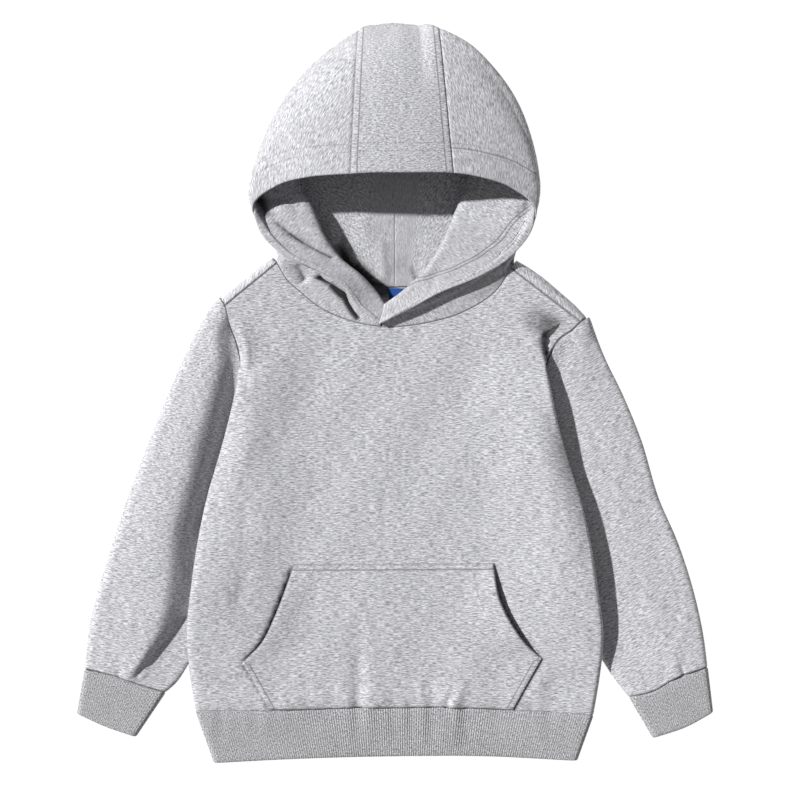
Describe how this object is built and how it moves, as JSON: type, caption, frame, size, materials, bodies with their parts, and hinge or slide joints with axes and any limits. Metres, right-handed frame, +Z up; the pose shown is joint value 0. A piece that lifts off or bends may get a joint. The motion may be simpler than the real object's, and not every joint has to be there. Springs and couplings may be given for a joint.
{
  "type": "toddler hoodie",
  "caption": "Toddler's hooded sweatshirt laid flat on its back, hood propped open, with set-in sleeves, rib cuffs, rib hem band and a front pocket.",
  "frame": {"origin": "centre of the footprint, on the surface the garment lies on", "axes": "+Z up from the surface, out of the garment's front; +Y from the hem to the hood; +X to the wearer's left"},
  "size_m": [0.5586, 0.6461, 0.0737],
  "materials": {
    "fleece": "grey marl sweatshirt jersey, matt",
    "rib": "grey marl 1x1 rib, matt",
    "label": "plain blue woven tab"
  },
  "bodies": {
    "root": {"back_panel": "fleece", "front_panel": "fleece", "sleeve_left": "fleece", "sleeve_right": "fleece", "kangaroo_pocket": "fleece", "hood_centre_panel": "fleece", "hood_side_left": "fleece", "hood_side_right": "fleece", "hood_lining_left": "fleece", "hood_lining_right": "fleece", "cuff_left": "rib", "cuff_right": "rib", "hem_band": "rib", "neck_label": "label"}
  },
  "joints": []
}
